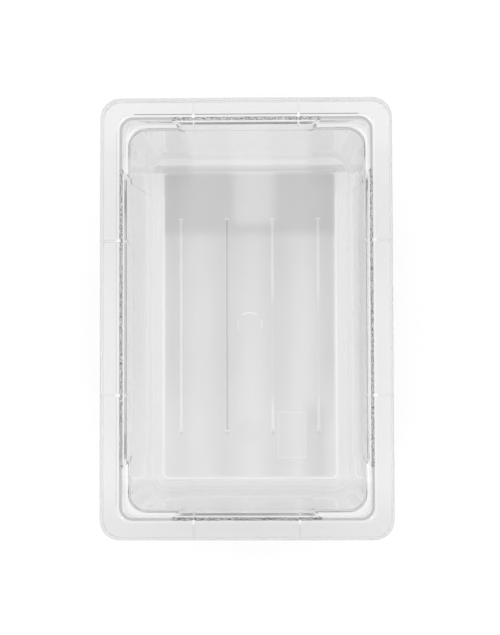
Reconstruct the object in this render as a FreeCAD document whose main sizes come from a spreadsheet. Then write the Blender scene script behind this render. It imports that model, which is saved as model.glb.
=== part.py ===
import FreeCAD, Part
import math
import os
import Sketcher
from types import SimpleNamespace

# A clear one-piece food storage tub, open at the top.
# X runs across the tub, Y along it and Z up from the surface that it stands on.
# An inset is measured inwards from the outer edge of the rim, a depth downwards from its top.

DRIVING_SIZES = {
    "overall_width": 302.8,
    "overall_length": 457.2,
    "overall_height": 152.4,
    # walls of the moulding
    "wall": 3.0,
    "floor_wall": 3.0,
    "flange_wall": 3.0,
    "skirt_wall": 2.8,
    # rim: a flat flange with a skirt that hangs from its outer edge
    "rim_corner_radius": 21.0,
    "rim_edge_radius": 3.0,
    "flange_width": 23.6,
    "skirt_depth": 19.0,
    "skirt_edge_radius": 1.0,
    # ledge let into the rim, on which a lid would sit, and the slope that leads down to it
    "ledge_drop": 3.5,
    "ledge_corner_radius": 11.0,
    "slope_run": 3.4,
    "step_inset": 17.3,
    "step_corner_radius": 14.0,
    # cavity
    "mouth_inset": 27.5,
    "mouth_edge_radius": 0.8,
    "side_lean": 18.6,
    "end_lean": 20.3,
    "wall_corner_radius": 16.0,
    "floor_edge_radius": 11.6,
    # stacking shoulders in the corners
    "shoulder_setback": 0.2,
    "shoulder_depth": 28.5,
    "shoulder_lean": 0.3,
    "shoulder_root_radius": 1.2,
    "shoulder_edge_radius": 1.0,
    "shoulder_arm": 74.6,
    # columns that carry the shoulders, a little wider than the panels between them
    "column_reach": 83.0,
    "column_setback": 1.2,
    # gussets between skirt and wall
    "gusset_wall": 2.0,
    "gusset_depth": 16.0,
    "end_gusset_offset": 54.5,
    "side_gusset_offset": 80.0,
    # ribs and gate ring under the floor
    "rib_pitch": 50.8,
    "rib_width": 3.4,
    "rib_height": 2.0,
    "rib_length": 234.0,
    "rib_ramp": 9.5,
    "gate_diameter": 28.5,
    "gate_ring_width": 1.4,
    "gate_ring_height": 0.8,
    # how far a cutting form runs past the face that it opens
    "overrun": 2.0,
}
RIB_COUNT = 4

# The moulding is an outer form less an inner one, and both are built alike, one skin apart.
INNER = 0
OUTER = 1

CLOSE = 0.01


class Length:
    """A length worked out from the sheet, as an expression and as its value."""

    def __init__(self, text, value):
        self.text = text
        self.value = value

    def __add__(self, other):
        return Length(f"({self.text} + {text_of(other)})", self.value + value_of(other))

    def __sub__(self, other):
        return Length(f"({self.text} - {text_of(other)})", self.value - value_of(other))

    def __mul__(self, other):
        return Length(f"({self.text} * {text_of(other)})", self.value * value_of(other))

    def __truediv__(self, other):
        return Length(f"({self.text} / {text_of(other)})", self.value / value_of(other))

    def __neg__(self):
        return self * -1


def text_of(length):
    return length.text if isinstance(length, Length) else str(length)


def value_of(length):
    return length.value if isinstance(length, Length) else length


size = SimpleNamespace(
    **{name: Length(f"Sizes.{name}", value) for name, value in DRIVING_SIZES.items()}
)
ZERO = Length("0", 0)


def make_sheet(doc):
    sheet = doc.addObject("Spreadsheet::Sheet", "Sizes")
    for row, (name, value) in enumerate(DRIVING_SIZES.items(), start=1):
        sheet.set(f"A{row}", name)
        sheet.set(f"B{row}", str(value))
        sheet.setAlias(f"B{row}", name)
    doc.recompute()


def drive(thing, path, length):
    thing.setExpression(path, text_of(length))


def datum(body, role):
    """Finds one of a body's own planes or axes."""
    return next(feature for feature in body.Origin.OriginFeatures if feature.Role == role)


def new_sketch(body, name, height=ZERO, role="XY_Plane"):
    sketch = body.newObject("Sketcher::SketchObject", name)
    sketch.AttachmentSupport = [(datum(body, role), "")]
    sketch.MapMode = "FlatFace"
    drive(sketch, "AttachmentOffset.Base.z", height)
    return sketch


def constrain(sketch, kind, *where, length=None):
    """Adds one constraint, driven by a length where one is given."""
    if length is None:
        sketch.addConstraint(Sketcher.Constraint(kind, *where))
        return
    index = sketch.addConstraint(Sketcher.Constraint(kind, *where, length.value))
    drive(sketch, f"Constraints[{index}]", length)


def polygon(sketch, corners):
    """Draws a closed outline of straight lines and joins their ends."""
    points = [FreeCAD.Vector(x, y, 0) for x, y in corners]
    for index, point in enumerate(points):
        following = points[(index + 1) % len(points)]
        sketch.addGeometry(Part.LineSegment(point, following), False)
    for index in range(len(points)):
        constrain(sketch, "Coincident", index, 2, (index + 1) % len(points), 1)


def rounded_rectangle(sketch, width, length, radius):
    """Draws a rectangle with round corners about the origin, its sides even and its arcs odd."""
    across = width.value / 2 - radius.value
    along = length.value / 2 - radius.value
    quarter = math.pi / 2
    for index, (side_x, side_y) in enumerate(((1, -1), (1, 1), (-1, 1), (-1, -1))):
        centre = FreeCAD.Vector(side_x * across, side_y * along, 0)
        last = FreeCAD.Vector(side_y * across, -side_x * along, 0)
        out = FreeCAD.Vector(radius.value, 0, 0)
        out = FreeCAD.Rotation(90 * (index - 1), 0, 0).multVec(out)
        sketch.addGeometry(Part.LineSegment(last + out, centre + out), False)
        circle = Part.Circle(centre, FreeCAD.Vector(0, 0, 1), radius.value)
        arc = Part.ArcOfCircle(circle, (index - 1) * quarter, index * quarter)
        sketch.addGeometry(arc, False)
    for side in range(0, 8, 2):
        arc = side + 1
        constrain(sketch, "Tangent", side, 2, arc, 1)
        constrain(sketch, "Tangent", arc, 2, (side + 2) % 8, 1)
        constrain(sketch, "Horizontal" if side in (0, 4) else "Vertical", side)
    for arc in (3, 5, 7):
        constrain(sketch, "Equal", 1, arc)
    constrain(sketch, "Symmetric", 7, 3, 3, 3, -1, 1)
    constrain(sketch, "DistanceX", 6, 1, 2, 1, length=width)
    constrain(sketch, "DistanceY", 0, 1, 4, 1, length=length)
    constrain(sketch, "Radius", 1, length=radius)


def inset_outline(sketch, inset_x, inset_y, radius):
    """Draws a rounded rectangle a given way inside the rim's outer edge."""
    width = size.overall_width - inset_x * 2
    length = size.overall_length - inset_y * 2
    rounded_rectangle(sketch, width, length, radius)


def placed_rectangle(sketch, centre_x, centre_y, size_x, size_y):
    """Draws a plain rectangle about a centre of its own."""
    left = centre_x - size_x / 2
    low = centre_y - size_y / 2
    right = left + size_x
    high = low + size_y
    polygon(
        sketch,
        (
            (left.value, low.value),
            (right.value, low.value),
            (right.value, high.value),
            (left.value, high.value),
        ),
    )
    for side in range(4):
        constrain(sketch, "Vertical" if side % 2 else "Horizontal", side)
    constrain(sketch, "DistanceX", 0, 1, 0, 2, length=size_x)
    constrain(sketch, "DistanceY", 1, 1, 1, 2, length=size_y)
    constrain(sketch, "DistanceX", -1, 1, 0, 1, length=left)
    constrain(sketch, "DistanceY", -1, 1, 0, 1, length=low)


def pad(body, name, sketch, length):
    feature = body.newObject("PartDesign::Pad", name)
    feature.Profile = sketch
    drive(feature, "Length", length)
    body.Document.recompute()
    return feature


def leaning_block(body, name, low, high, low_insets, high_insets, radius):
    """A block with flat leaning sides and rounded upright corners, between two levels."""
    feature = body.newObject("PartDesign::AdditiveWedge", name)
    feature.AttachmentSupport = [(datum(body, "XZ_Plane"), "")]
    feature.MapMode = "FlatFace"
    half_width = size.overall_width / 2
    half_length = size.overall_length / 2
    ends = (
        ("", half_width - low_insets[0], half_length - low_insets[1]),
        ("2", half_width - high_insets[0], half_length - high_insets[1]),
    )
    drive(feature, "Ymin", low)
    drive(feature, "Ymax", high)
    for end, reach_x, reach_y in ends:
        drive(feature, f"X{end}min", -reach_x)
        drive(feature, f"X{end}max", reach_x)
        drive(feature, f"Z{end}min", -reach_y)
        drive(feature, f"Z{end}max", reach_y)
    body.Document.recompute()
    corners = spanning_edges(feature.Shape, low, high)
    return fillet(body, name + "Corners", feature, corners, radius)


def fillet(body, name, base, edges, radius):
    feature = body.newObject("PartDesign::Fillet", name)
    feature.Base = (base, [f"Edge{index}" for index in edges])
    drive(feature, "Radius", radius)
    body.Document.recompute()
    return feature


def spanning_edges(shape, low, high):
    """Numbers the edges that run from one level up to another."""
    numbers = []
    for number, edge in enumerate(shape.Edges, start=1):
        box = edge.BoundBox
        if abs(box.ZMin - low.value) < CLOSE and abs(box.ZMax - high.value) < CLOSE:
            numbers.append(number)
    return numbers


def level_edges(shape, height):
    """Numbers the edges that lie in one level."""
    numbers = []
    for number, edge in enumerate(shape.Edges, start=1):
        box = edge.BoundBox
        if abs(box.ZMin - height.value) < CLOSE and abs(box.ZMax - height.value) < CLOSE:
            numbers.append(number)
    return numbers


def loop_edges(shape, height, inset_x, inset_y):
    """Numbers the edges of one level that lie on the outline with these insets."""
    half_width = (size.overall_width / 2 - inset_x).value
    half_length = (size.overall_length / 2 - inset_y).value
    numbers = []
    for number in level_edges(shape, height):
        box = shape.Edges[number - 1].BoundBox
        reach_x = max(abs(box.XMin), abs(box.XMax))
        reach_y = max(abs(box.YMin), abs(box.YMax))
        if abs(reach_x - half_width) < CLOSE or abs(reach_y - half_length) < CLOSE:
            numbers.append(number)
    return numbers


def floor_level(skin):
    return size.rib_height if skin == OUTER else size.rib_height + size.floor_wall


def ledge_level(skin):
    return size.overall_height - size.ledge_drop - size.flange_wall * skin


def shelf_level(skin):
    return size.overall_height - size.shoulder_depth - size.wall * skin


def lean_walls(body, skin, setback):
    """The leaning walls and the rounded foot, from the floor up to the ledge."""
    mouth = size.mouth_inset - size.wall * skin - setback
    foot = (mouth + size.side_lean, mouth + size.end_lean)
    level = floor_level(skin)
    radius = size.wall_corner_radius + size.wall * skin
    top = size.overall_height - size.ledge_drop
    walls = leaning_block(body, "Walls", level, top, foot, (mouth, mouth), radius)
    edges = level_edges(walls.Shape, level)
    return fillet(body, "FloorEdge", walls, edges, size.floor_edge_radius + size.wall * skin)


def middle_form(doc, name, skin):
    """The panels and the ledge between the corners."""
    body = doc.addObject("PartDesign::Body", name)
    lean_walls(body, skin, ZERO)
    level = ledge_level(skin)
    outline = new_sketch(body, "LedgeOutline", level)
    if skin == OUTER:
        inset = size.step_inset
        inset_outline(outline, inset, inset, size.step_corner_radius)
        pad(body, "Step", outline, size.ledge_drop + size.flange_wall / 2)
        add_ribs(body)
        add_gate_ring(body)
        return body
    inset = size.flange_width
    inset_outline(outline, inset, inset, size.ledge_corner_radius)
    ledge = pad(body, "Ledge", outline, size.ledge_drop + size.overrun)
    edges = loop_edges(ledge.Shape, level, size.mouth_inset, size.mouth_inset)
    fillet(body, "MouthEdge", ledge, edges, size.mouth_edge_radius)
    return body


def corner_form(doc, name, skin):
    """The columns and the shoulders, drawn all the way round."""
    body = doc.addObject("PartDesign::Body", name)
    lean_walls(body, skin, size.column_setback)
    shelf = shelf_level(skin)
    head = size.flange_width + size.shoulder_setback - size.wall * skin
    foot = head + size.shoulder_lean
    radius = size.ledge_corner_radius + size.wall * skin
    shoulder = leaning_block(
        body, "Shoulder", shelf, ledge_level(skin), (foot, foot), (head, head), radius
    )
    if skin == INNER:
        outer_edges = loop_edges(shoulder.Shape, shelf, foot, foot)
        edges = [edge for edge in level_edges(shoulder.Shape, shelf) if edge not in outer_edges]
        shoulder = fillet(body, "ShoulderEdge", shoulder, edges, size.shoulder_edge_radius)
    edges = loop_edges(shoulder.Shape, shelf, foot, foot)
    fillet(body, "ShoulderRoot", shoulder, edges, size.shoulder_root_radius + size.wall * skin)
    return body


def block(doc, name, sizes, place, turn=0):
    piece = doc.addObject("Part::Box", name)
    for side, length in zip(("Length", "Width", "Height"), sizes):
        drive(piece, side, length)
    piece.Placement = FreeCAD.Placement(FreeCAD.Vector(), FreeCAD.Rotation(turn, 0, 0))
    for axis, length in zip("xyz", place):
        drive(piece, f"Placement.Base.{axis}", length)
    return piece


def between_corners(doc, name, skin):
    """What parts the four corners: plain blocks below, wedges at 45 degrees above."""
    half_width = size.overall_width / 2
    half_length = size.overall_length / 2
    shelf = shelf_level(skin)
    reach = size.column_reach + size.wall * skin
    across = half_width - reach
    along = half_length - reach
    end_sizes = (across * 2, size.overall_length, shelf)
    side_sizes = (size.overall_width, along * 2, shelf)
    pieces = [
        block(doc, name + "EndPanels", end_sizes, (-across, -half_length, ZERO)),
        block(doc, name + "SidePanels", side_sizes, (-half_width, -along, ZERO)),
    ]
    # A wedge is a square block turned onto its corner.
    slant = size.shoulder_arm - size.flange_width + size.wall * (skin * math.sqrt(2))
    tall = size.overall_height + size.overrun - shelf
    end_run = half_width - slant
    side_run = half_length - slant
    wedges = (
        ("Far", end_run, 45, ZERO, half_length - end_run),
        ("Near", end_run, 225, ZERO, end_run - half_length),
        ("Right", side_run, -45, half_width - side_run, ZERO),
        ("Left", side_run, 135, side_run - half_width, ZERO),
    )
    for side, run, turn, tip_x, tip_y in wedges:
        edge = run * math.sqrt(2)
        pieces.append(block(doc, f"{name}{side}Wedge", (edge, edge, tall), (tip_x, tip_y, shelf), turn))
    return join(doc, name, pieces)


def join(doc, name, pieces):
    joined = doc.addObject("Part::MultiFuse", name)
    joined.Shapes = pieces
    doc.recompute()
    return joined


def cut(doc, name, base, tool):
    result = doc.addObject("Part::Cut", name)
    result.Base = base
    result.Tool = tool
    doc.recompute()
    return result


def whole_form(doc, name, skin):
    """The middle panels and the four corners, as pieces to be joined."""
    middle = middle_form(doc, name + "Middle", skin)
    around = corner_form(doc, name + "Around", skin)
    clear = between_corners(doc, name + "Between", skin)
    return [middle, cut(doc, name + "Corners", around, clear)]


def four_ways(body, name, feature):
    """Mirrors a feature across both middle planes of the tub."""
    multi = body.newObject("PartDesign::MultiTransform", name)
    multi.Originals = [feature]
    mirrors = []
    for role in ("YZ_Plane", "XZ_Plane"):
        mirror = body.newObject("PartDesign::Mirrored", name + role[:2])
        mirror.MirrorPlane = (datum(body, role), [""])
        mirrors.append(mirror)
    multi.Transformations = mirrors
    body.Tip = multi
    body.Document.recompute()


def add_gussets(body):
    """Upright webs under the flange: two to a side and one to a corner."""
    foot = size.overall_height - size.gusset_depth
    tall = size.gusset_depth - size.flange_wall / 2
    start = size.skirt_wall / 2
    reach = size.mouth_inset - start
    middle = start + reach / 2
    end = new_sketch(body, "EndGussetOutline", foot)
    centre_y = size.overall_length / 2 - middle
    placed_rectangle(end, size.end_gusset_offset, centre_y, size.gusset_wall, reach)
    four_ways(body, "EndGussets", pad(body, "EndGusset", end, tall))
    side = new_sketch(body, "SideGussetOutline", foot)
    centre_x = size.overall_width / 2 - middle
    placed_rectangle(side, centre_x, size.side_gusset_offset, reach, size.gusset_wall)
    four_ways(body, "SideGussets", pad(body, "SideGusset", side, tall))
    corner = new_sketch(body, "CornerGussetOutline", foot)
    drive(corner, "AttachmentOffset.Base.x", size.overall_width / 2 - size.rim_corner_radius)
    drive(corner, "AttachmentOffset.Base.y", size.overall_length / 2 - size.rim_corner_radius)
    drive(corner, "AttachmentOffset.Rotation.Angle", 45)
    reach = size.rim_corner_radius - start
    placed_rectangle(corner, reach / 2, ZERO, reach, size.gusset_wall)
    four_ways(body, "CornerGussets", pad(body, "CornerGusset", corner, tall))


def make_rim(doc):
    """The flat flange with its hanging skirt and the gussets under it."""
    body = doc.addObject("PartDesign::Body", "Rim")
    foot = size.overall_height - size.skirt_depth
    outline = new_sketch(body, "RimOutline", foot)
    inset_outline(outline, ZERO, ZERO, size.rim_corner_radius)
    rim = pad(body, "RimBlock", outline, size.skirt_depth)
    edges = level_edges(rim.Shape, size.overall_height)
    rounded = fillet(body, "RimEdge", rim, edges, size.rim_edge_radius)
    hollow = new_sketch(body, "SkirtInside", foot)
    inset_outline(hollow, size.skirt_wall, size.skirt_wall, size.rim_corner_radius - size.skirt_wall)
    pocket = body.newObject("PartDesign::Pocket", "SkirtHollow")
    pocket.Profile = hollow
    pocket.Reversed = True
    drive(pocket, "Length", size.skirt_depth - size.flange_wall)
    doc.recompute()
    if pocket.Shape.Volume >= rounded.Shape.Volume:
        raise RuntimeError("the hollow under the rim was not cut")
    fillet(body, "SkirtEdge", pocket, level_edges(pocket.Shape, foot), size.skirt_edge_radius)
    add_gussets(body)
    return body


def add_ribs(body):
    """Lengthwise ribs with ramped ends, which the tub stands on."""
    span = size.rib_pitch * (RIB_COUNT - 1)
    sketch = new_sketch(body, "RibOutline", -span / 2, "YZ_Plane")
    tall = size.rib_height + size.floor_wall / 2
    foot = size.rib_length / 2
    head = foot + size.rib_ramp
    corners = (
        (-foot.value, 0),
        (foot.value, 0),
        (head.value, tall.value),
        (-head.value, tall.value),
    )
    polygon(sketch, corners)
    constrain(sketch, "Horizontal", 0)
    constrain(sketch, "Symmetric", 0, 1, 0, 2, -1, 1)
    constrain(sketch, "Symmetric", 2, 1, 2, 2, -2)
    constrain(sketch, "DistanceX", 0, 1, 0, 2, length=foot * 2)
    constrain(sketch, "DistanceX", 2, 2, 2, 1, length=head * 2)
    constrain(sketch, "DistanceY", 1, 1, 1, 2, length=tall)
    rib = pad(body, "Rib", sketch, size.rib_width)
    rib.SideType = "Symmetric"
    body.Document.recompute()
    pattern = body.newObject("PartDesign::LinearPattern", "Ribs")
    pattern.Originals = [rib]
    pattern.Direction = (datum(body, "X_Axis"), [""])
    pattern.Occurrences = RIB_COUNT
    drive(pattern, "Length", span)
    body.Tip = pattern
    body.Document.recompute()


def add_gate_ring(body):
    """The round mark that the mould's gate leaves under the floor."""
    sketch = new_sketch(body, "GateOutline", size.rib_height - size.gate_ring_height)
    for diameter in (size.gate_diameter, size.gate_diameter - size.gate_ring_width * 2):
        circle = Part.Circle(FreeCAD.Vector(), FreeCAD.Vector(0, 0, 1), diameter.value / 2)
        index = sketch.addGeometry(circle, False)
        constrain(sketch, "Coincident", index, 3, -1, 1)
        constrain(sketch, "Diameter", index, length=diameter)
    pad(body, "GateRing", sketch, size.gate_ring_height + size.floor_wall / 2)


def slope_flange(doc, hollow):
    """Slopes the flange's inner edge down towards the ledge."""
    edges = loop_edges(hollow.Shape, size.overall_height, size.flange_width, size.flange_width)
    run = size.slope_run.value
    sloped = doc.addObject("Part::Chamfer", "Tub")
    sloped.Base = hollow
    sloped.Edges = [(edge, run, run) for edge in edges]
    doc.recompute()
    return sloped


def make_tub(doc):
    shell = join(doc, "Shell", [make_rim(doc)] + whole_form(doc, "Outer", OUTER))
    space = join(doc, "Space", whole_form(doc, "Inner", INNER))
    tub = slope_flange(doc, cut(doc, "Hollow", shell, space))
    tub.Label = "tub"
    return tub


def check(doc, nodes):
    for thing in doc.Objects:
        if "Invalid" in thing.State or "Error" in thing.State:
            raise RuntimeError(f"{thing.Label} failed")
    for node in nodes:
        if node.Shape.isNull() or not node.Shape.isValid() or len(node.Shape.Solids) != 1:
            raise RuntimeError(f"{node.Label} is not one valid solid")


def main():
    doc = FreeCAD.newDocument("StorageTub")
    make_sheet(doc)
    nodes = [make_tub(doc)]
    check(doc, nodes)
    os.makedirs("parts", exist_ok=True)
    for node in nodes:
        node.Shape.exportStep(f"parts/{node.Label}.step")
        box = node.Shape.BoundBox
        print(node.Label, box.XLength, box.YLength, box.ZLength, node.Shape.Volume)


main()
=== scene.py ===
import math
from types import SimpleNamespace

import bpy
from mathutils import Matrix, Vector


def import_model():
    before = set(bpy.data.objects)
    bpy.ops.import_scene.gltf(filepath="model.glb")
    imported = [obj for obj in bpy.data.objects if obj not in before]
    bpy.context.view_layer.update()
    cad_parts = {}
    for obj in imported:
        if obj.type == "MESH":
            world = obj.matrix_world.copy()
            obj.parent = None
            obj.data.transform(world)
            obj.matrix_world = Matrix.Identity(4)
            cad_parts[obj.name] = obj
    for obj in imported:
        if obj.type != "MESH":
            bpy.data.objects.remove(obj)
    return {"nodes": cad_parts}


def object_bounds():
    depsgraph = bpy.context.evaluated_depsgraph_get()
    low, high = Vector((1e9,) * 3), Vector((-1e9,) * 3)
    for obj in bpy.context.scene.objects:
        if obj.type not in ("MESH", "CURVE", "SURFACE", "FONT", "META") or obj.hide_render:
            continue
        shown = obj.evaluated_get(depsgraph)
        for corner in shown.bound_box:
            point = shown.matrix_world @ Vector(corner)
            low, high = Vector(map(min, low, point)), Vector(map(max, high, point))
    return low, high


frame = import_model()
cad_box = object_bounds()

# Lengths are in metres. An inset is measured inwards from the outer edge of the rim, and a level
# upwards from the surface that the tub stands on. A tint is added to the share of light that the
# plastic lets through, so a place with a negative tint looks darker. Most tints below are painted
# shade and painted highlights laid on place by place, not the plastic's own colour.

# outer form of the tub, and how far from its middle the two ends begin
HALF_WIDTH = cad_box[1][0]
HALF_LENGTH = cad_box[1][1]
EDGE_CORNER = 0.021
RIM_CORNER = 0.0346
SHELF_CORNER = 0.0446
RIM_FOOT = 0.1452
SHOULDER_ARM = 0.0746
END_GUSSET = 0.0545
SIDE_GUSSET = 0.080
END_Y = 0.2

# lengths over which one tint gives way to the next
CRISP = 0.0003
FINE = 0.0008
FADED = 0.002
SOFT = 0.004
MILD = 0.016
BROAD = 0.03

# the mean of a noise pattern, and the strength at which a light's colour shows as it is written
NOISE_MIDDLE = 0.5
FULL_STRENGTH = 1.0


class Value:
    """A number that varies over a surface, built up from shader nodes."""

    def __init__(self, tree, socket):
        self.tree = tree
        self.socket = socket

    def apply(self, operation, *others):
        node = self.tree.nodes.new("ShaderNodeMath")
        node.operation = operation
        for place, other in enumerate((self,) + others):
            if isinstance(other, Value):
                self.tree.links.new(other.socket, node.inputs[place])
            else:
                node.inputs[place].default_value = other
        return Value(self.tree, node.outputs[0])

    def __add__(self, other):
        return self.apply("ADD", other)

    def __sub__(self, other):
        return self.apply("SUBTRACT", other)

    def __mul__(self, other):
        return self.apply("MULTIPLY", other)

    def __truediv__(self, other):
        return self.apply("DIVIDE", other)

    def inverse(self):
        """One less this value, which turns a mask inside out."""
        return self * -1 + 1

    def size(self):
        return self.apply("ABSOLUTE")

    def least(self, other):
        return self.apply("MINIMUM", other)

    def most(self, other):
        return self.apply("MAXIMUM", other)

    def above(self, edge, soft):
        """Rises from nought to one as the value passes an edge."""
        node = self.tree.nodes.new("ShaderNodeMapRange")
        node.interpolation_type = "SMOOTHSTEP"
        self.tree.links.new(self.socket, node.inputs["Value"])
        node.inputs["From Min"].default_value = edge - soft / 2
        node.inputs["From Max"].default_value = edge + soft / 2
        return Value(self.tree, node.outputs[0])

    def below(self, edge, soft):
        return self.above(edge, soft).inverse()

    def within(self, low, high, soft):
        return self.above(low, soft) * self.below(high, soft)

    def wave(self, pitch):
        """Swings between one and minus one, with a crest at nought."""
        return (self * (2 * math.pi / pitch)).apply("COSINE")

    def into(self, socket):
        """Feeds the value to a socket of another node."""
        self.tree.links.new(self.socket, socket)


def distance(across, along):
    return (across * across + along * along).apply("SQRT")


def new_material(name):
    material = bpy.data.materials.new(name)
    material.use_nodes = True
    material.node_tree.nodes.clear()
    return material, material.node_tree


def place_values(tree, kind="Object"):
    """The three coordinates, and the socket that holds them all."""
    coordinates = tree.nodes.new("ShaderNodeTexCoord").outputs[kind]
    parts = tree.nodes.new("ShaderNodeSeparateXYZ")
    tree.links.new(coordinates, parts.inputs["Vector"])
    x, y, z = (Value(tree, socket) for socket in parts.outputs)
    return x, y, z, coordinates


def noise(tree, coordinates, stretch, scale, detail):
    """An uneven pattern between nought and one."""
    mapping = tree.nodes.new("ShaderNodeMapping")
    mapping.inputs["Scale"].default_value = stretch
    tree.links.new(coordinates, mapping.inputs["Vector"])
    node = tree.nodes.new("ShaderNodeTexNoise")
    node.inputs["Scale"].default_value = scale
    node.inputs["Detail"].default_value = detail
    tree.links.new(mapping.outputs["Vector"], node.inputs["Vector"])
    return Value(tree, node.outputs["Fac"])


def ray_is(tree, *kinds):
    """One for a ray of any of these kinds, and nought for every other."""
    path = tree.nodes.new("ShaderNodeLightPath")
    result = Value(tree, path.outputs[kinds[0]])
    for kind in kinds[1:]:
        result = result.most(Value(tree, path.outputs[kind]))
    return result


def end_in_mixture(tree, share, first, second):
    """Makes the surface a mixture of two shaders, with this share of the second."""
    mix = tree.nodes.new("ShaderNodeMixShader")
    share.into(mix.inputs["Fac"])
    tree.links.new(first, mix.inputs[1])
    tree.links.new(second, mix.inputs[2])
    output = tree.nodes.new("ShaderNodeOutputMaterial")
    tree.links.new(mix.outputs["Shader"], output.inputs["Surface"])


def inset_of(x, y, half_width, half_length, corner):
    """How far inside a rectangle with round corners a place lies."""
    over_x = (x.size() - (half_width - corner)).most(0)
    over_y = (y.size() - (half_length - corner)).most(0)
    return distance(over_x, over_y) * -1 + corner


def rim_inset(x, y, corner):
    return inset_of(x, y, HALF_WIDTH, HALF_LENGTH, corner)


# the fine grain, and where the slope lies that leads down from the flange to the ledge
EVENLY = (1, 1, 1)
GRAIN_SCALE = 1100.0
GRAIN_DETAIL = 0.5
SLOPE_INSETS = (0.0203, 0.0236)
SLOPE_FOOT = 0.1488


def tub_places(tree):
    """All that the tints are worked out from."""
    x, y, z, coordinates = place_values(tree)
    inset = rim_inset(x, y, RIM_CORNER)
    # how far along its side a place lies from the nearest corner
    reach = (x.size() * -1 + HALF_WIDTH).most(y.size() * -1 + HALF_LENGTH)
    return SimpleNamespace(
        tree=tree,
        coordinates=coordinates,
        x=x,
        y=y,
        z=z,
        inset=inset,
        reach=reach,
        on_rim=z.above(RIM_FOOT, CRISP),
        below_rim=z.below(RIM_FOOT, FADED),
        slope=inset.within(*SLOPE_INSETS, CRISP) * z.above(SLOPE_FOOT, CRISP),
        between_shoulders=reach.above(SHOULDER_ARM, SOFT),
        grain=noise(tree, coordinates, EVENLY, GRAIN_SCALE, GRAIN_DETAIL),
    )


# the slope's tints: painted shade between the shoulders, with the real grain showing in it as
# lighter specks, more painted shade at the near end, and a soft band of painted shade in the corners
SLOPE_PAINTED_SHADE = -0.76
SLOPE_NEAR_PAINTED_SHADE = -0.07
SLOPE_GRAIN_TINT = 0.5
SLOPE_GRAIN_EDGE = 0.1
CORNER_BAND = (0.0200, 0.0228)
CORNER_PAINTED_SHADE = -0.30
CORNER_CLOUD = 0.85


def painted_slope_shade(at):
    # painted shade over the slope; the grain is the slope's real texture showing in it
    grain = at.grain.above(NOISE_MIDDLE, SLOPE_GRAIN_EDGE) * SLOPE_GRAIN_TINT
    near = at.y.below(-END_Y, MILD) * SLOPE_NEAR_PAINTED_SHADE
    grained = (grain + near + SLOPE_PAINTED_SHADE) * at.between_shoulders
    corner = at.inset.within(*CORNER_BAND, FINE) * at.between_shoulders.inverse() * CORNER_PAINTED_SHADE
    return at.slope * (grained + corner)


# the flat flange, with painted shade over its top and its rounded edge, and painted shade that
# dims the bright line beside the slope
FLANGE_LEVEL = 0.1490
FLANGE_PAINTED_SHADE = -0.11
EDGE_WIDTH = 0.0026
EDGE_PAINTED_SHADE = -0.1
EDGE_CLOUD = 0.5
GLINT_INSETS = (0.0176, 0.0186)
GLINT_DIMMING_SHADE = -0.02


def edge_mask(at):
    return rim_inset(at.x, at.y, EDGE_CORNER).below(EDGE_WIDTH, FINE) * at.on_rim


def painted_flange_shade(at):
    top = at.z.above(FLANGE_LEVEL, CRISP) * FLANGE_PAINTED_SHADE
    dimmed_glint = at.inset.within(*GLINT_INSETS, FINE) * at.on_rim * at.reach.above(RIM_CORNER, SOFT)
    return top + edge_mask(at) * EDGE_PAINTED_SHADE + dimmed_glint * GLINT_DIMMING_SHADE


# the gussets' upper edges under the flange, drawn on it as lines of painted shade, and a painted
# highlight in each corner and at each gusset's inner end
GUSSET_HALF_WALL = 0.0012
GUSSET_INSETS = (0.001, 0.016)
GUSSET_PAINTED_SHADE = -0.1
GUSSET_TICK_INSETS = (0.0166, 0.0212)
SPARKLE_HALF_WIDTH = 0.0008
SPARKLE_INSETS = (0.0174, 0.0204)
SPARKLE_PAINTED_HIGHLIGHT = 0.12
DIAGONAL = math.sqrt(0.5)


def off_gusset(at):
    return (at.x.size() - END_GUSSET).size().least((at.y.size() - SIDE_GUSSET).size())


def off_diagonal(at):
    return (at.x.size() - at.y.size() + (HALF_LENGTH - HALF_WIDTH)).size() * DIAGONAL


def painted_sparkle_mask(at):
    tick = off_gusset(at).below(GUSSET_HALF_WALL, CRISP) * at.inset.within(*GUSSET_TICK_INSETS, CRISP)
    corner = off_diagonal(at).below(SPARKLE_HALF_WIDTH, CRISP) * at.inset.within(*SPARKLE_INSETS, CRISP)
    return tick.most(corner) * at.on_rim


def painted_gusset_shade(at):
    plate = off_gusset(at).below(GUSSET_HALF_WALL, CRISP) * at.inset.within(*GUSSET_INSETS, FINE)
    return plate * at.z.above(FLANGE_LEVEL, CRISP) * GUSSET_PAINTED_SHADE


# the walls: painted shade near the mouth, in the far corners, at the near end, at the sides of the
# far wall and above the far floor edge, and painted light on the shelf faces, at the top of the near
# end and on the far wall
WALL_CORNER_X = 0.066
WALL_CORNER_Y = 0.163
WALL_CORNER_PAINTED_SHADE = -0.08
WALL_CORNER_FADE = 0.05
WALL_FOOT = 0.004
WALL_TOP = 0.09
WALL_TOP_FADE = 0.08
WALL_TOP_PAINTED_SHADE = -0.02
END_WALL_Y = 0.172
END_WALL_FADE = 0.006
NEAR_WALL_PAINTED_SHADE = -0.082
NEAR_WALL_TOP_PAINTED_LIGHT = 0.03
FAR_WALL_PAINTED_LIGHT = 0.03
FAR_WALL_SIDE_PAINTED_SHADE = -0.035
FAR_WALL_SIDE = 0.022
FAR_WALL_FADE = 0.012
SHADING_MIDDLE_X = 0.002
SHELF_FACE_INSETS = (0.0232, 0.0284)
SHELF_FACE_LEVELS = (0.1204, 0.1245)
SHELF_FACE_PAINTED_LIGHT = 0.05
FILLET_Y = (0.1695, 0.1785)
FILLET_TOP = 0.012
FILLET_PAINTED_SHADE = -0.14


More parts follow.
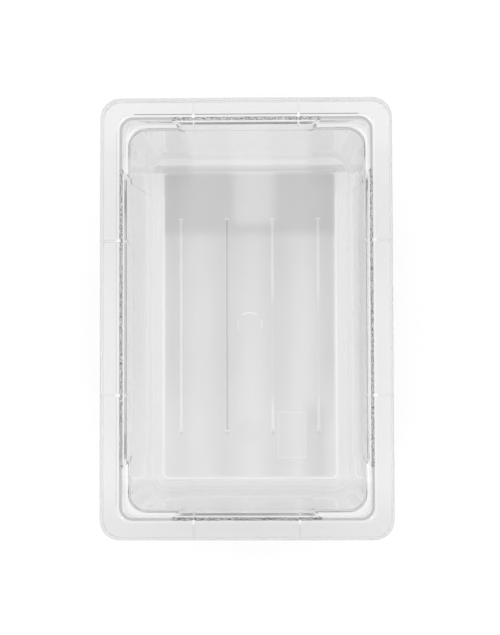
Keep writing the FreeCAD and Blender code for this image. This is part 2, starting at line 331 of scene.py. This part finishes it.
def painted_end_wall_shading(at):
    top = at.z.above(WALL_TOP, WALL_TOP_FADE)
    near = at.y.below(-END_WALL_Y, END_WALL_FADE) * at.z.above(WALL_FOOT, SOFT)
    side = (at.x - SHADING_MIDDLE_X).size().above(FAR_WALL_SIDE, FAR_WALL_FADE)
    far = at.y.above(END_WALL_Y, END_WALL_FADE)
    near_tint = near * (top * NEAR_WALL_TOP_PAINTED_LIGHT + NEAR_WALL_PAINTED_SHADE)
    return near_tint + far * (side * FAR_WALL_SIDE_PAINTED_SHADE + FAR_WALL_PAINTED_LIGHT)


def painted_wall_shading(at):
    corner = at.x.size().above(WALL_CORNER_X, MILD) * at.y.above(WALL_CORNER_Y, WALL_CORNER_FADE)
    top = at.z.above(WALL_TOP, WALL_TOP_FADE)
    shelf = rim_inset(at.x, at.y, SHELF_CORNER).within(*SHELF_FACE_INSETS, CRISP)
    shelf = shelf * at.z.within(*SHELF_FACE_LEVELS, FINE)
    fillet = at.y.within(*FILLET_Y, FADED) * at.z.below(FILLET_TOP, SOFT)
    tint = shelf * SHELF_FACE_PAINTED_LIGHT + corner * WALL_CORNER_PAINTED_SHADE + painted_end_wall_shading(at)
    return at.below_rim * (tint + top * WALL_TOP_PAINTED_SHADE + fillet * FILLET_PAINTED_SHADE)


# the floor: a painted highlight along its outline, painted bands of light and shade across it, painted
# light and shade from end to end and from side to side, an uneven tone and a darker round patch
FLOOR_TOP = 0.0062
FLOOR_UNDER = 0.0026
FLOOR_HALF_WIDTH = 0.0957
FLOOR_HALF_LENGTH = 0.170
FLOOR_CORNER = 0.006
# painted shade over the whole floor
FLOOR_PAINTED_SHADE = -0.108
OUTLINE_INSETS = (-0.0014, 0.0004)
OUTLINE_PAINTED_HIGHLIGHT = 0.09
FLAT_INSET = 0.0018
SHADE_BAND_PITCH = 0.058
SHADE_BAND_TINT = 0.035
SHADE_BAND_FAR_TINT = -0.025
FAR_FLOOR_Y = 0.1
FAR_FLOOR_PAINTED_LIGHT = 0.02
NEAR_FLOOR_Y = -0.08
NEAR_FLOOR_FADE = 0.12
NEAR_FLOOR_PAINTED_LIGHT = 0.05
FLOOR_SIDE = 0.078
FLOOR_SIDE_PAINTED_SHADE = -0.02
NEAR_SIDE_PAINTED_LIGHT = 0.06
CLOUD_STRETCH = (3, 0.6, 1)
CLOUD_SCALE = 9.0
CLOUD_DETAIL = 2.0
CLOUD_TINT = 0.08
BESIDE_PANEL_X = (0.060, 0.084)
BESIDE_PANEL_Y = -0.09
BESIDE_PANEL_PAINTED_SHADE = -0.085
DARK_PATCH_Y = -0.119
DARK_PATCH_RADIUS = 0.014
DARK_PATCH_TINT = -0.03


def floor_shading(at):
    far = at.y.above(FAR_FLOOR_Y, BROAD)
    near = at.y.below(NEAR_FLOOR_Y, NEAR_FLOOR_FADE)
    shade_bands = (at.x - SHADING_MIDDLE_X).wave(SHADE_BAND_PITCH) * (far * SHADE_BAND_FAR_TINT + SHADE_BAND_TINT)
    side = at.x.size().above(FLOOR_SIDE, MILD) * (near * NEAR_SIDE_PAINTED_LIGHT + FLOOR_SIDE_PAINTED_SHADE)
    cloud = noise(at.tree, at.coordinates, CLOUD_STRETCH, CLOUD_SCALE, CLOUD_DETAIL) - NOISE_MIDDLE
    # painted shade beside the label panel, and a round patch drawn darker
    shade_beside_panel = at.x.within(*BESIDE_PANEL_X, MILD) * at.y.below(BESIDE_PANEL_Y, BROAD)
    dark_patch = distance(at.x, at.y - DARK_PATCH_Y).below(DARK_PATCH_RADIUS, MILD)
    ends = near * NEAR_FLOOR_PAINTED_LIGHT + far * FAR_FLOOR_PAINTED_LIGHT
    spots = cloud * CLOUD_TINT + shade_beside_panel * BESIDE_PANEL_PAINTED_SHADE + dark_patch * DARK_PATCH_TINT
    return shade_bands + side + ends + spots


# the ribs under the floor, drawn in painted light and shade: painted shade on the second one and
# painted highlights on the others, weaker over part of the floor, with a painted highlight at each end
RIB_PITCH = 0.0508
RIB_REACH = 0.117
RIB_FOOT = (0.1172, 0.1186)
RIB_FOOT_HALF_WIDTH = 0.0024
RIB_FOOT_PAINTED_HIGHLIGHT = 0.18
LIGHT_FACE = (-0.0016, 0.0014)
RIB_PAINTED_HIGHLIGHT = 0.15
DARK_FACE = (-0.0008, 0.0006)
RIB_PAINTED_SHADE = -0.18
DARK_FACE_EDGE = (-0.0022, -0.0008)
RIB_SHADE_EDGE_PAINTED_LIGHT = 0.05
DIMMED_HIGHLIGHT_Y = (-0.085, 0.03)
DIMMED_HIGHLIGHT_SHARE = -0.7


def painted_rib_light(at):
    # each rib lies half a pitch from a whole number of pitches
    off_rib = (at.x / RIB_PITCH).apply("FRACT") * RIB_PITCH - RIB_PITCH / 2
    second_rib = at.x.within(-RIB_PITCH, 0, SOFT)
    # the painted rib highlights are made weaker over part of the floor
    dimmed_highlight = at.y.within(*DIMMED_HIGHLIGHT_Y, BROAD) * at.x.above(0, MILD) * DIMMED_HIGHLIGHT_SHARE + 1
    light = off_rib.within(*LIGHT_FACE, FINE) * second_rib.inverse() * dimmed_highlight * RIB_PAINTED_HIGHLIGHT
    dark = off_rib.within(*DARK_FACE, FINE) * RIB_PAINTED_SHADE
    dark = (dark + off_rib.within(*DARK_FACE_EDGE, FINE) * RIB_SHADE_EDGE_PAINTED_LIGHT) * second_rib
    foot = off_rib.size().below(RIB_FOOT_HALF_WIDTH, CRISP) * at.y.size().within(*RIB_FOOT, CRISP)
    return (light + dark) * at.y.size().below(RIB_REACH, SOFT) + foot * RIB_FOOT_PAINTED_HIGHLIGHT


# the gate ring under the middle of the floor, drawn as a painted highlight: one bright arc and two
# fainter ones
GATE_RADII = (0.0126, 0.0143)
GATE_PAINTED_HIGHLIGHT = 0.13
FAR_ARC_Y = 0.011
SIDE_ARC_Y = 0.005
SIDE_ARC_SHARE = 0.6


def painted_gate_highlight(at):
    arcs = at.y.above(FAR_ARC_Y, FINE).most(at.y.size().below(SIDE_ARC_Y, SOFT) * SIDE_ARC_SHARE)
    return distance(at.x, at.y).within(*GATE_RADII, FINE) * arcs * GATE_PAINTED_HIGHLIGHT


# the label panel, left bare and painted lighter, with a painted highlight along its border
PANEL_X = (0.0306, 0.0618)
PANEL_Y = (-0.1484, -0.0968)
PANEL_BORDER = 0.0012
PANEL_TINT = 0.045
BORDER_PAINTED_HIGHLIGHT = 0.055


def panel_mask(at, margin=0.0):
    across = at.x.within(PANEL_X[0] + margin, PANEL_X[1] - margin, CRISP)
    return across * at.y.within(PANEL_Y[0] + margin, PANEL_Y[1] - margin, CRISP)


def painted_panel_light(at):
    panel = panel_mask(at)
    return panel * PANEL_TINT + panel * panel_mask(at, PANEL_BORDER).inverse() * BORDER_PAINTED_HIGHLIGHT


def painted_floor_light(at):
    inset = inset_of(at.x, at.y, FLOOR_HALF_WIDTH, FLOOR_HALF_LENGTH, FLOOR_CORNER)
    drawn = floor_shading(at) + painted_rib_light(at) + painted_gate_highlight(at) + painted_panel_light(at) + FLOOR_PAINTED_SHADE
    outline = inset.within(*OUTLINE_INSETS, FINE) * OUTLINE_PAINTED_HIGHLIGHT
    return at.z.below(FLOOR_TOP, CRISP) * (outline + inset.above(FLAT_INSET, SOFT) * drawn)


# tight corners of the moulding scatter light: the ledge, the mouth, the shelves and the corner slopes
LEDGE_INSETS = (0.0242, 0.0272)
LEDGE_CLOUD = 0.31
# painted shade on the ledge
LEDGE_PAINTED_SHADE = -0.14
MOUTH_INSETS = (0.0272, 0.0286)
MOUTH_LEVELS = (0.1474, 0.1492)
MOUTH_CLOUD = 0.1
SHELF_INSETS = (0.0278, 0.0300)
SHELF_LEVELS = (0.1222, 0.1252)
SHELF_CLOUD = 0.8


def ledge_mask(at):
    return at.inset.within(*LEDGE_INSETS, CRISP) * at.z.within(*MOUTH_LEVELS, CRISP)


def clouded(at):
    """The share of light that is scattered and doesn't pass through."""
    mouth = at.inset.within(*MOUTH_INSETS, CRISP) * at.z.within(*MOUTH_LEVELS, CRISP) * MOUTH_CLOUD
    shelf = rim_inset(at.x, at.y, SHELF_CORNER).within(*SHELF_INSETS, FINE)
    shelf = shelf * at.z.within(*SHELF_LEVELS, CRISP) * SHELF_CLOUD
    corner = at.slope * at.between_shoulders.inverse() * CORNER_CLOUD
    return (ledge_mask(at) * LEDGE_CLOUD + mouth).most(shelf).most(corner).most(edge_mask(at) * EDGE_CLOUD)


# the upright step under the flange, drawn as a dark line of painted shade at the far end, fainter
# at the sides
STEP_INSETS = (0.0168, 0.0174)
STEP_LEVELS = (0.1455, 0.1496)
STEP_LEFT_SHARE = 0.4
STEP_SIDE_SHARE = 0.1
STEP_LEFT_FADE = 0.1


def step_shade_mask(at):
    left = at.x.below(0, STEP_LEFT_FADE) * STEP_LEFT_SHARE
    sides = at.y.size().below(END_Y, MILD) * (left + STEP_SIDE_SHARE)
    share = at.y.above(END_Y, MILD) + sides
    step = at.inset.within(*STEP_INSETS, CRISP) * at.z.within(*STEP_LEVELS, CRISP)
    return step * at.reach.above(RIM_CORNER, SOFT) * share


# the plastic itself: its own tint, its gloss, its roughness and its faint waves
CLEAR_TINT = 0.89
REFRACTIVE_INDEX = 1.58
GLOSS_ROUGHNESS = 0.015
PANEL_ROUGHNESS = 0.25
SLOPE_ROUGHNESS = 0.12
BUMP_STRENGTH = 0.25
BUMP_HEIGHT = 0.0005
WAVE_SCALE = 45.0
WAVE_DETAIL = 1.0
WAVE_HEIGHT = 0.04
WAVE_INSET = 0.0230
PANEL_BUMP = 0.4


def tint_with_painted_light(at):
    """The share of light that the plastic lets through, with painted shade and highlights laid on."""
    painted_sparkle = painted_sparkle_mask(at)
    rim = painted_slope_shade(at) + painted_flange_shade(at) + painted_gusset_shade(at)
    rim = rim * painted_sparkle.inverse() + painted_sparkle * SPARKLE_PAINTED_HIGHLIGHT
    return rim + painted_wall_shading(at) + painted_floor_light(at) + ledge_mask(at) * LEDGE_PAINTED_SHADE + CLEAR_TINT


def surface_bump(at, panel):
    """Faint waves in the walls, and fine grain on the slope and the label panel."""
    bump = at.tree.nodes.new("ShaderNodeBump")
    bump.inputs["Strength"].default_value = BUMP_STRENGTH
    bump.inputs["Distance"].default_value = BUMP_HEIGHT
    on_wall = at.inset.above(WAVE_INSET, FADED) * at.below_rim
    waves = noise(at.tree, at.coordinates, EVENLY, WAVE_SCALE, WAVE_DETAIL) * on_wall * WAVE_HEIGHT
    (waves + at.slope * at.grain + panel * at.grain * PANEL_BUMP).into(bump.inputs["Height"])
    return bump.outputs["Normal"]


def plastic_shader(at):
    plastic = at.tree.nodes.new("ShaderNodeBsdfPrincipled")
    plastic.inputs["IOR"].default_value = REFRACTIVE_INDEX
    panel = panel_mask(at) * at.z.below(FLOOR_UNDER, CRISP)
    roughness = panel * PANEL_ROUGHNESS + at.slope * SLOPE_ROUGHNESS + GLOSS_ROUGHNESS
    tint_with_painted_light(at).into(plastic.inputs["Base Color"])
    roughness.into(plastic.inputs["Roughness"])
    clouded(at).inverse().into(plastic.inputs["Transmission Weight"])
    at.tree.links.new(surface_bump(at, panel), plastic.inputs["Normal"])
    return plastic.outputs["BSDF"]


# the light that passes through the plastic to the floor, and the painted shade of the step's line
PASSING_LIGHT = 0.775
STEP_PAINTED_SHADE = -0.6
STEP_SHARE = 0.8


def clear_plastic():
    material, tree = new_material("clear_plastic")
    at = tub_places(tree)
    step = step_shade_mask(at)
    passing = tree.nodes.new("ShaderNodeBsdfTransparent")
    (step * STEP_PAINTED_SHADE + PASSING_LIGHT).into(passing.inputs["Color"])
    share = ray_is(tree, "Is Shadow Ray", "Is Diffuse Ray").most(step * STEP_SHARE)
    end_in_mixture(tree, share, plastic_shader(at), passing.outputs["BSDF"])
    return material


# the floor lies a hair below the ribs, so that the two faces never share a level
FLOOR_GAP = -0.0004
FLOOR_SIZE = 40
PAPER = (0.96, 0.96, 0.96, 1)
WHITE = (1, 1, 1, 1)
FLOOR_GLOW_SHARE = 0.5
SEEN_RAYS = ("Is Camera Ray", "Is Glossy Ray", "Is Transmission Ray")


def floor():
    bpy.ops.mesh.primitive_plane_add(size=FLOOR_SIZE, location=(0, 0, FLOOR_GAP))
    plane = bpy.context.object
    plane.name = "floor"
    material, tree = new_material("floor_white")
    paper = tree.nodes.new("ShaderNodeBsdfDiffuse")
    paper.inputs["Color"].default_value = PAPER
    white = tree.nodes.new("ShaderNodeEmission")
    white.inputs["Color"].default_value = WHITE
    white.inputs["Strength"].default_value = FULL_STRENGTH
    glow_share = ray_is(tree, *SEEN_RAYS) * FLOOR_GLOW_SHARE
    end_in_mixture(tree, glow_share, paper.outputs["BSDF"], white.outputs["Emission"])
    plane.data.materials.append(material)


# the room: dim near the floor and bright from a little above it, with a white backdrop at the horizon
ROOM_LIGHT = 0.40
ROOM_RISE = 0.90
ROOM_EDGE = 0.25
ROOM_FADE = 0.5
BACKDROP_TOP = 0.2
BACKDROP_FADE = 0.06

# the ceiling straight above, as the flat faces mirror it, with its places written as slopes
CEILING_EDGE = 0.93
CEILING_FADE = 0.04
CEILING_LIGHT = 1.9
DARK_BANK_X = (-0.088, 0.037)
DARK_BANK_Y = (0.1005, 0.14)
DARK_BANK_FADE = 0.016
DARK_BANK_LIGHT = -1.15
FAR_CEILING = 0.08
FAR_CEILING_FADE = 0.06
FAR_CEILING_LIGHT = -0.5
FAR_WALL_GLOW = 0.15
FAR_WALL_LIGHT = 0.35
NEAR_CEILING = -0.05
NEAR_CEILING_FADE = 0.035
NEAR_CEILING_LIGHT = -1.1
LAMP_X = (-0.0336, -0.0104)
LAMP_Y = (0.106, 0.138)
LAMP_LIGHT = 1.2
DARKEST = 0.02
NARROW = 0.008
LEAST_RISE = 0.01


def ceiling_light(across, along):
    """The brightness of a place that lies this far across and along for each unit upwards."""
    bank = along.within(*DARK_BANK_Y, NARROW) * across.within(*DARK_BANK_X, DARK_BANK_FADE)
    lamp = along.within(*LAMP_Y, NARROW) * across.within(*LAMP_X, NARROW) * LAMP_LIGHT
    far = along.above(FAR_CEILING, FAR_CEILING_FADE) * FAR_CEILING_LIGHT
    beyond = along.above(FAR_WALL_GLOW, NARROW) * FAR_WALL_LIGHT
    near = along.below(NEAR_CEILING, NEAR_CEILING_FADE) * NEAR_CEILING_LIGHT
    return (bank * DARK_BANK_LIGHT + lamp + far + beyond + near + CEILING_LIGHT).most(DARKEST)


def world():
    """Lights the tub from all round, and shows plain white beyond the floor."""
    sky = bpy.data.worlds.new("studio")
    bpy.context.scene.world = sky
    sky.use_nodes = True
    tree = sky.node_tree
    tree.nodes.clear()
    x, y, z, _ = place_values(tree, "Generated")
    rise = z.most(LEAST_RISE)
    overhead = z.above(CEILING_EDGE, CEILING_FADE)
    room = z.above(ROOM_EDGE, ROOM_FADE) * ROOM_RISE + ROOM_LIGHT
    ceiling = ceiling_light(x / rise, y / rise)
    backdrop = z.below(BACKDROP_TOP, BACKDROP_FADE) * ray_is(tree, *SEEN_RAYS)
    lit = room * overhead.inverse() + ceiling * overhead
    light = tree.nodes.new("ShaderNodeBackground")
    light.inputs["Strength"].default_value = FULL_STRENGTH
    (lit * backdrop.inverse() + backdrop).into(light.inputs["Color"])
    output = tree.nodes.new("ShaderNodeOutputWorld")
    tree.links.new(light.outputs["Background"], output.inputs["Surface"])


# the camera: a long lens almost straight above the tub
IMAGE_HEIGHT_PX = 635
FOCAL_PX = 1784.2
SENSOR = 36.0
CAMERA_PLACE = Vector((0.0485, -0.0980, 1.9858))
CAMERA_TARGET = Vector((0.0038, -0.0001, 0.1524))
CAMERA_ROLL = math.radians(0.15)


def camera():
    data = bpy.data.cameras.new("camera")
    data.sensor_width = SENSOR
    data.lens = FOCAL_PX / IMAGE_HEIGHT_PX * SENSOR
    seen = bpy.data.objects.new("camera", data)
    bpy.context.scene.collection.objects.link(seen)
    forward = (CAMERA_TARGET - CAMERA_PLACE).normalized()
    hint = Vector((math.sin(CAMERA_ROLL), math.cos(CAMERA_ROLL), 0))
    right = forward.cross(hint).normalized()
    up = right.cross(forward)
    turn = Matrix((right, up, -forward)).transposed().to_4x4()
    seen.matrix_world = Matrix.Translation(CAMERA_PLACE) @ turn
    bpy.context.scene.camera = seen


# how many times a ray of light may be bent or mirrored
LIGHT_BOUNCES = 32


def light_paths():
    """Lets light travel far along the inside of the walls before it is given up."""
    cycles = bpy.context.scene.cycles
    cycles.max_bounces = LIGHT_BOUNCES
    cycles.glossy_bounces = LIGHT_BOUNCES
    cycles.transmission_bounces = LIGHT_BOUNCES
    cycles.transparent_max_bounces = LIGHT_BOUNCES


def main():
    tub = frame["nodes"]["tub"]
    tub.data.materials.clear()
    tub.data.materials.append(clear_plastic())
    floor()
    world()
    camera()
    light_paths()
    bpy.context.scene.view_settings.view_transform = "Standard"


main()
